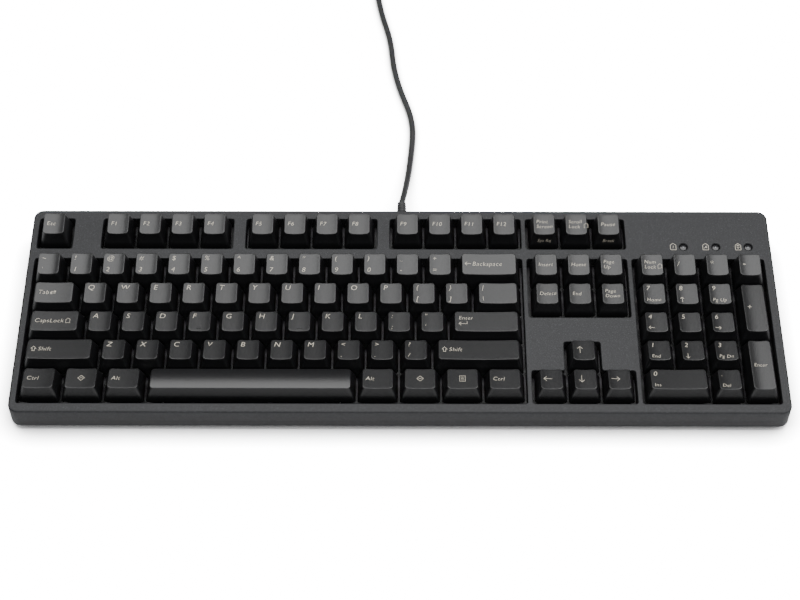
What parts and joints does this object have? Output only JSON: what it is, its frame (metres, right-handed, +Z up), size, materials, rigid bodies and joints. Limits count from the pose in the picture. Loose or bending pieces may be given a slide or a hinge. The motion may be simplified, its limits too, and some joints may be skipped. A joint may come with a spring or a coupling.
{
  "type": "mechanical keyboard",
  "caption": "Full-size mechanical keyboard with a black moulded case, travelling keycaps on switches in a steel plate, flip-down rear feet and a coiled USB cord.",
  "frame": {"origin": "centre of the case's footprint, on the surface the keyboard stands on", "axes": "+X to the right along the keyboard, +Y from the typist to the rear, +Z up"},
  "size_m": [0.44, 0.4355, 0.038],
  "materials": {
    "case": "fine matte grain, black",
    "bottom": "matte black",
    "plate": "black powder coat",
    "switches": "black switch housings on a dark circuit board",
    "keycap": "satin black with printed grey legends",
    "light_guide": "smoked clear light guide",
    "pad": "matte",
    "foot": "matte black",
    "screw": "zinc plated",
    "wire": "bare spring steel",
    "sleeve": "matte black",
    "cord": "satin black vinyl jacket",
    "plug": "black moulded grip with a plated steel shell"
  },
  "bodies": {
    "case": {"top_cover": "case", "bottom_cover": "bottom", "switch_plate": "plate", "circuit_board": "switches", "front_left_pad": "pad", "front_right_pad": "pad", "rear_left_pad": "pad", "rear_right_pad": "pad", "indicator_light_guide": "light_guide", "case_screw_left": "screw", "case_screw_right": "screw", "strain_relief": "sleeve", "cord": "cord", "cord_coil": "cord", "usb_plug": "plug"},
    "left_foot": {"foot_left": "foot"},
    "right_foot": {"foot_right": "foot"},
    "key_escape": {"key_escape": "keycap"},
    "key_space": {"key_space": "keycap"},
    "key_enter": {"key_enter": "keycap"},
    "keys_q_to_t": {"keys_q_to_t": "keycap"},
    "keys_grave_to_5": {"keys_grave_to_5": "keycap"},
    "keys_h_to_quote": {"keys_h_to_quote": "keycap"},
    "keys_f5_to_f8": {"keys_f5_to_f8": "keycap"},
    "key_left_shift": {"key_left_shift": "keycap"},
    "key_backspace": {"key_backspace": "keycap"},
    "key_arrow_up": {"key_arrow_up": "keycap"},
    "key_num_enter": {"key_num_enter": "keycap"},
    "key_num_0": {"key_num_0": "keycap"},
    "keys_num_7_to_9": {"keys_num_7_to_9": "keycap"},
    "keys_insert_to_page_up": {"keys_insert_to_page_up": "keycap"},
    "keys_z_to_b": {"keys_z_to_b": "keycap"},
    "key_caps_lock": {"key_caps_lock": "keycap"},
    "key_tab": {"key_tab": "keycap"},
    "key_left_control": {"key_left_control": "keycap"},
    "keys_f1_to_f4": {"keys_f1_to_f4": "keycap"},
    "keys_f9_to_f12": {"keys_f9_to_f12": "keycap"},
    "keys_print_to_pause": {"keys_print_to_pause": "keycap"},
    "keys_6_to_equals": {"keys_6_to_equals": "keycap"},
    "keys_num_lock_to_minus": {"keys_num_lock_to_minus": "keycap"},
    "keys_y_to_bracket": {"keys_y_to_bracket": "keycap"},
    "key_backslash": {"key_backslash": "keycap"},
    "keys_delete_to_page_down": {"keys_delete_to_page_down": "keycap"},
    "key_num_plus": {"key_num_plus": "keycap"},
    "keys_a_to_g": {"keys_a_to_g": "keycap"},
    "keys_num_4_to_6": {"keys_num_4_to_6": "keycap"},
    "keys_n_to_slash": {"keys_n_to_slash": "keycap"},
    "key_right_shift": {"key_right_shift": "keycap"},
    "keys_num_1_to_3": {"keys_num_1_to_3": "keycap"},
    "key_left_system": {"key_left_system": "keycap"},
    "key_left_alt": {"key_left_alt": "keycap"},
    "key_right_alt": {"key_right_alt": "keycap"},
    "key_right_system": {"key_right_system": "keycap"},
    "key_menu": {"key_menu": "keycap"},
    "key_right_control": {"key_right_control": "keycap"},
    "key_arrow_left": {"key_arrow_left": "keycap"},
    "key_arrow_down": {"key_arrow_down": "keycap"},
    "key_arrow_right": {"key_arrow_right": "keycap"},
    "key_num_decimal": {"key_num_decimal": "keycap"},
    "stabilizer": {"space_stabilizer_wire": "wire"}
  },
  "joints": [
    {"name": "left_foot_hinge", "type": "hinge", "parent": "case", "child": "left_foot", "pos_m": [-0.17, 0.051, 0.003], "axis": [1, 0, 0], "range_deg": [0, 90]},
    {"name": "right_foot_hinge", "type": "hinge", "parent": "case", "child": "right_foot", "pos_m": [0.17, 0.051, 0.003], "axis": [1, 0, 0], "range_deg": [0, 90]},
    {"name": "key_escape_press", "type": "slide", "parent": "case", "child": "key_escape", "axis": [0, 0.0872, -0.9962], "range_m": [0, 0.004], "stiffness_N_per_m": 75, "springref_m": -0.004},
    {"name": "key_space_press", "type": "slide", "parent": "case", "child": "key_space", "axis": [0, 0.0872, -0.9962], "range_m": [0, 0.004], "stiffness_N_per_m": 75, "springref_m": -0.004},
    {"name": "key_enter_press", "type": "slide", "parent": "case", "child": "key_enter", "axis": [0, 0.0872, -0.9962], "range_m": [0, 0.004], "stiffness_N_per_m": 75, "springref_m": -0.004},
    {"name": "keys_q_to_t_press", "type": "slide", "parent": "case", "child": "keys_q_to_t", "axis": [0, 0.0872, -0.9962], "range_m": [0, 0.004], "stiffness_N_per_m": 375, "springref_m": -0.004},
    {"name": "keys_grave_to_5_press", "type": "slide", "parent": "case", "child": "keys_grave_to_5", "axis": [0, 0.0872, -0.9962], "range_m": [0, 0.004], "stiffness_N_per_m": 450, "springref_m": -0.004},
    {"name": "keys_h_to_quote_press", "type": "slide", "parent": "case", "child": "keys_h_to_quote", "axis": [0, 0.0872, -0.9962], "range_m": [0, 0.004], "stiffness_N_per_m": 450, "springref_m": -0.004},
    {"name": "keys_f5_to_f8_press", "type": "slide", "parent": "case", "child": "keys_f5_to_f8", "axis": [0, 0.0872, -0.9962], "range_m": [0, 0.004], "stiffness_N_per_m": 300, "springref_m": -0.004},
    {"name": "key_left_shift_press", "type": "slide", "parent": "case", "child": "key_left_shift", "axis": [0, 0.0872, -0.9962], "range_m": [0, 0.004], "stiffness_N_per_m": 75, "springref_m": -0.004},
    {"name": "key_backspace_press", "type": "slide", "parent": "case", "child": "key_backspace", "axis": [0, 0.0872, -0.9962], "range_m": [0, 0.004], "stiffness_N_per_m": 75, "springref_m": -0.004},
    {"name": "key_arrow_up_press", "type": "slide", "parent": "case", "child": "key_arrow_up", "axis": [0, 0.0872, -0.9962], "range_m": [0, 0.004], "stiffness_N_per_m": 75, "springref_m": -0.004},
    {"name": "key_num_enter_press", "type": "slide", "parent": "case", "child": "key_num_enter", "axis": [0, 0.0872, -0.9962], "range_m": [0, 0.004], "stiffness_N_per_m": 75, "springref_m": -0.004},
    {"name": "key_num_0_press", "type": "slide", "parent": "case", "child": "key_num_0", "axis": [0, 0.0872, -0.9962], "range_m": [0, 0.004], "stiffness_N_per_m": 75, "springref_m": -0.004},
    {"name": "keys_num_7_to_9_press", "type": "slide", "parent": "case", "child": "keys_num_7_to_9", "axis": [0, 0.0872, -0.9962], "range_m": [0, 0.004], "stiffness_N_per_m": 225, "springref_m": -0.004},
    {"name": "keys_insert_to_page_up_press", "type": "slide", "parent": "case", "child": "keys_insert_to_page_up", "axis": [0, 0.0872, -0.9962], "range_m": [0, 0.004], "stiffness_N_per_m": 225, "springref_m": -0.004},
    {"name": "keys_z_to_b_press", "type": "slide", "parent": "case", "child": "keys_z_to_b", "axis": [0, 0.0872, -0.9962], "range_m": [0, 0.004], "stiffness_N_per_m": 375, "springref_m": -0.004},
    {"name": "key_caps_lock_press", "type": "slide", "parent": "case", "child": "key_caps_lock", "axis": [0, 0.0872, -0.9962], "range_m": [0, 0.004], "stiffness_N_per_m": 75, "springref_m": -0.004},
    {"name": "key_tab_press", "type": "slide", "parent": "case", "child": "key_tab", "axis": [0, 0.0872, -0.9962], "range_m": [0, 0.004], "stiffness_N_per_m": 75, "springref_m": -0.004},
    {"name": "key_left_control_press", "type": "slide", "parent": "case", "child": "key_left_control", "axis": [0, 0.0872, -0.9962], "range_m": [0, 0.004], "stiffness_N_per_m": 75, "springref_m": -0.004},
    {"name": "keys_f1_to_f4_press", "type": "slide", "parent": "case", "child": "keys_f1_to_f4", "axis": [0, 0.0872, -0.9962], "range_m": [0, 0.004], "stiffness_N_per_m": 300, "springref_m": -0.004},
    {"name": "keys_f9_to_f12_press", "type": "slide", "parent": "case", "child": "keys_f9_to_f12", "axis": [0, 0.0872, -0.9962], "range_m": [0, 0.004], "stiffness_N_per_m": 300, "springref_m": -0.004},
    {"name": "keys_print_to_pause_press", "type": "slide", "parent": "case", "child": "keys_print_to_pause", "axis": [0, 0.0872, -0.9962], "range_m": [0, 0.004], "stiffness_N_per_m": 225, "springref_m": -0.004},
    {"name": "keys_6_to_equals_press", "type": "slide", "parent": "case", "child": "keys_6_to_equals", "axis": [0, 0.0872, -0.9962], "range_m": [0, 0.004], "stiffness_N_per_m": 525, "springref_m": -0.004},
    {"name": "keys_num_lock_to_minus_press", "type": "slide", "parent": "case", "child": "keys_num_lock_to_minus", "axis": [0, 0.0872, -0.9962], "range_m": [0, 0.004], "stiffness_N_per_m": 300, "springref_m": -0.004},
    {"name": "keys_y_to_bracket_press", "type": "slide", "parent": "case", "child": "keys_y_to_bracket", "axis": [0, 0.0872, -0.9962], "range_m": [0, 0.004], "stiffness_N_per_m": 525, "springref_m": -0.004},
    {"name": "key_backslash_press", "type": "slide", "parent": "case", "child": "key_backslash", "axis": [0, 0.0872, -0.9962], "range_m": [0, 0.004], "stiffness_N_per_m": 75, "springref_m": -0.004},
    {"name": "keys_delete_to_page_down_press", "type": "slide", "parent": "case", "child": "keys_delete_to_page_down", "axis": [0, 0.0872, -0.9962], "range_m": [0, 0.004], "stiffness_N_per_m": 225, "springref_m": -0.004},
    {"name": "key_num_plus_press", "type": "slide", "parent": "case", "child": "key_num_plus", "axis": [0, 0.0872, -0.9962], "range_m": [0, 0.004], "stiffness_N_per_m": 75, "springref_m": -0.004},
    {"name": "keys_a_to_g_press", "type": "slide", "parent": "case", "child": "keys_a_to_g", "axis": [0, 0.0872, -0.9962], "range_m": [0, 0.004], "stiffness_N_per_m": 375, "springref_m": -0.004},
    {"name": "keys_num_4_to_6_press", "type": "slide", "parent": "case", "child": "keys_num_4_to_6", "axis": [0, 0.0872, -0.9962], "range_m": [0, 0.004], "stiffness_N_per_m": 225, "springref_m": -0.004},
    {"name": "keys_n_to_slash_press", "type": "slide", "parent": "case", "child": "keys_n_to_slash", "axis": [0, 0.0872, -0.9962], "range_m": [0, 0.004], "stiffness_N_per_m": 375, "springref_m": -0.004},
    {"name": "key_right_shift_press", "type": "slide", "parent": "case", "child": "key_right_shift", "axis": [0, 0.0872, -0.9962], "range_m": [0, 0.004], "stiffness_N_per_m": 75, "springref_m": -0.004},
    {"name": "keys_num_1_to_3_press", "type": "slide", "parent": "case", "child": "keys_num_1_to_3", "axis": [0, 0.0872, -0.9962], "range_m": [0, 0.004], "stiffness_N_per_m": 225, "springref_m": -0.004},
    {"name": "key_left_system_press", "type": "slide", "parent": "case", "child": "key_left_system", "axis": [0, 0.0872, -0.9962], "range_m": [0, 0.004], "stiffness_N_per_m": 75, "springref_m": -0.004},
    {"name": "key_left_alt_press", "type": "slide", "parent": "case", "child": "key_left_alt", "axis": [0, 0.0872, -0.9962], "range_m": [0, 0.004], "stiffness_N_per_m": 75, "springref_m": -0.004},
    {"name": "key_right_alt_press", "type": "slide", "parent": "case", "child": "key_right_alt", "axis": [0, 0.0872, -0.9962], "range_m": [0, 0.004], "stiffness_N_per_m": 75, "springref_m": -0.004},
    {"name": "key_right_system_press", "type": "slide", "parent": "case", "child": "key_right_system", "axis": [0, 0.0872, -0.9962], "range_m": [0, 0.004], "stiffness_N_per_m": 75, "springref_m": -0.004},
    {"name": "key_menu_press", "type": "slide", "parent": "case", "child": "key_menu", "axis": [0, 0.0872, -0.9962], "range_m": [0, 0.004], "stiffness_N_per_m": 75, "springref_m": -0.004},
    {"name": "key_right_control_press", "type": "slide", "parent": "case", "child": "key_right_control", "axis": [0, 0.0872, -0.9962], "range_m": [0, 0.004], "stiffness_N_per_m": 75, "springref_m": -0.004},
    {"name": "key_arrow_left_press", "type": "slide", "parent": "case", "child": "key_arrow_left", "axis": [0, 0.0872, -0.9962], "range_m": [0, 0.004], "stiffness_N_per_m": 75, "springref_m": -0.004},
    {"name": "key_arrow_down_press", "type": "slide", "parent": "case", "child": "key_arrow_down", "axis": [0, 0.0872, -0.9962], "range_m": [0, 0.004], "stiffness_N_per_m": 75, "springref_m": -0.004},
    {"name": "key_arrow_right_press", "type": "slide", "parent": "case", "child": "key_arrow_right", "axis": [0, 0.0872, -0.9962], "range_m": [0, 0.004], "stiffness_N_per_m": 75, "springref_m": -0.004},
    {"name": "key_num_decimal_press", "type": "slide", "parent": "case", "child": "key_num_decimal", "axis": [0, 0.0872, -0.9962], "range_m": [0, 0.004], "stiffness_N_per_m": 75, "springref_m": -0.004},
    {"name": "stabilizer_turn", "type": "hinge", "parent": "case", "child": "stabilizer", "pos_m": [-0.08387, -0.06133, 0.01077], "axis": [1, 0, 0], "range_deg": [-25, 0]}
  ],
  "couplings": [
    {"joint": "stabilizer_turn", "follows": "key_space_press", "rad_per_m": -106.4}
  ]
}
